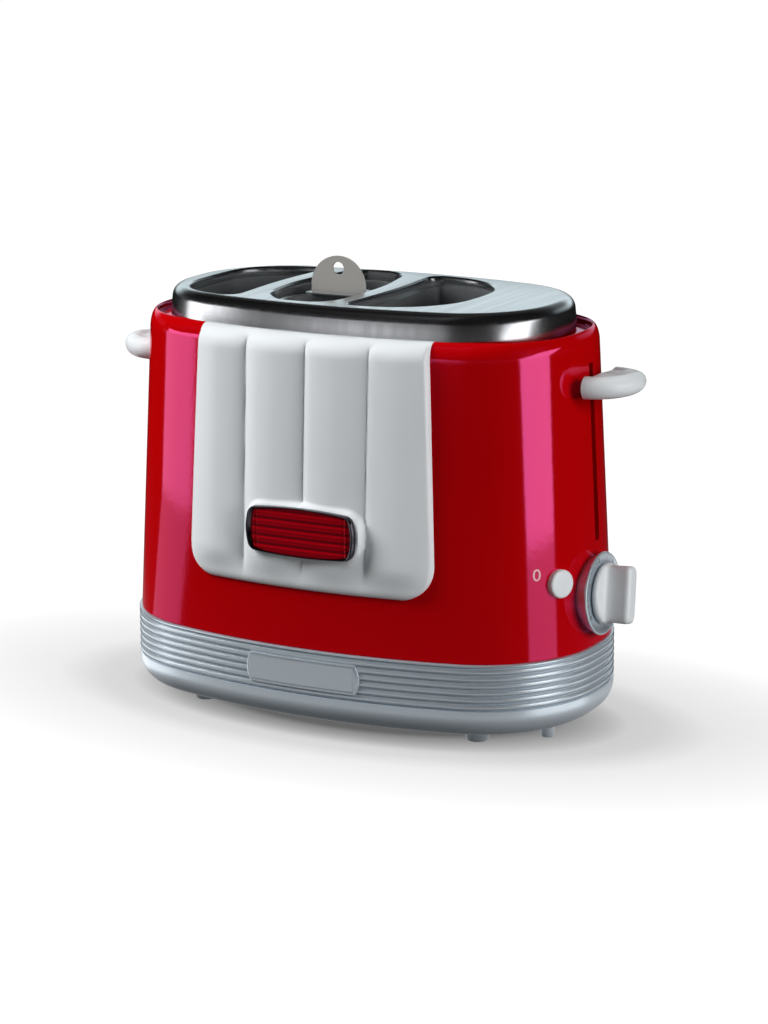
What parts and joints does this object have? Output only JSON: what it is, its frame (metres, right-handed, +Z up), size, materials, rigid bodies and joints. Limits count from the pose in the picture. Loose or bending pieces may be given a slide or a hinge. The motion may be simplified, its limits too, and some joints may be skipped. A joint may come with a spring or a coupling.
{
  "type": "hot dog toaster",
  "caption": "Hot dog toaster with bun slots and a lift-out sausage basket in a tapered red body, fluted white front, ribbed silver base, side lever and timer dial.",
  "frame": {"origin": "on the table, under the middle of the base", "axes": "+X towards the end with the lever and the dial, -Y towards the fluted front, +Z up"},
  "size_m": [0.2961, 0.1649, 0.2348],
  "materials": {
    "satin_silver": "satin silver",
    "zinc": "zinc plated",
    "black_rubber": "matt",
    "red_paint": "high gloss",
    "white_plastic": "gloss",
    "dark_chrome": "polished",
    "badge_red": "gloss",
    "brushed_steel": "satin brushed",
    "bright_steel": "bright",
    "mica": "matt",
    "steel_rod": "ground",
    "coil": "lacquered wire",
    "board": "matt",
    "black_plastic": "matt",
    "iron": "plain",
    "spring_steel": "plain",
    "tab_steel": "satin"
  },
  "bodies": {
    "housing": {"base_shell": "satin_silver", "feet": "satin_silver", "cord_pegs": "satin_silver", "base_screws": "zinc", "name_plate": "satin_silver", "cord_gland": "black_rubber", "chassis_floor": "zinc", "body_shell": "red_paint", "front_panel": "white_plastic", "badge_bezel": "dark_chrome", "badge_insert": "badge_red", "top_cover": "brushed_steel", "left_bun_well": "bright_steel", "sausage_well": "bright_steel", "right_bun_well": "bright_steel", "heater_left_outer": "mica", "heater_left_inner": "mica", "heater_right_inner": "mica", "heater_right_outer": "mica", "heat_shield": "zinc", "guide_rods": "steel_rod", "latch_magnet": "coil", "control_board": "board", "stop_switch": "black_plastic", "timer_case": "zinc", "timer_bracket": "zinc", "dial_ring": "satin_silver", "left_grip": "white_plastic", "return_spring": "spring_steel"},
    "carriage": {"carriage": "zinc", "front_rail": "zinc", "rear_rail": "zinc", "left_bun_bar": "zinc", "sausage_bar": "zinc", "right_bun_bar": "zinc", "end_bar": "zinc", "left_bun_lift": "bright_steel", "right_bun_lift": "bright_steel", "sausage_lift": "bright_steel", "lever_arm": "zinc", "lever_knob": "white_plastic", "armature": "iron"},
    "basket": {"front_tube": "bright_steel", "rear_tube": "bright_steel", "basket_floor": "bright_steel", "basket_handle": "tab_steel", "basket_straps": "tab_steel"},
    "dial": {"dial_knob": "white_plastic", "timer_shaft": "steel_rod"},
    "button": {"stop_button": "white_plastic"},
    "tray": {"crumb_tray": "satin_silver"}
  },
  "joints": [
    {"name": "lever_slide", "type": "slide", "parent": "housing", "child": "carriage", "axis": [0, 0, -1], "range_m": [0, 0.076], "stiffness_N_per_m": 60, "springref_m": -0.11, "deforming": ["return_spring"]},
    {"name": "basket_lift", "type": "slide", "parent": "carriage", "child": "basket", "axis": [0, 0, 1], "range_m": [0, 0.1]},
    {"name": "dial_turn", "type": "hinge", "parent": "housing", "child": "dial", "pos_m": [0.12716, -0.00296, 0.0742], "axis": [0.9985, -0.0155, 0.0522], "range_deg": [-135, 135]},
    {"name": "stop_press", "type": "slide", "parent": "housing", "child": "button", "axis": [-0.9087, 0.4141, -0.0522], "range_m": [0, 0.0022], "stiffness_N_per_m": 400, "springref_m": -0.001},
    {"name": "tray_slide", "type": "slide", "parent": "housing", "child": "tray", "axis": [0, 1, 0], "range_m": [0, 0.105]}
  ]
}
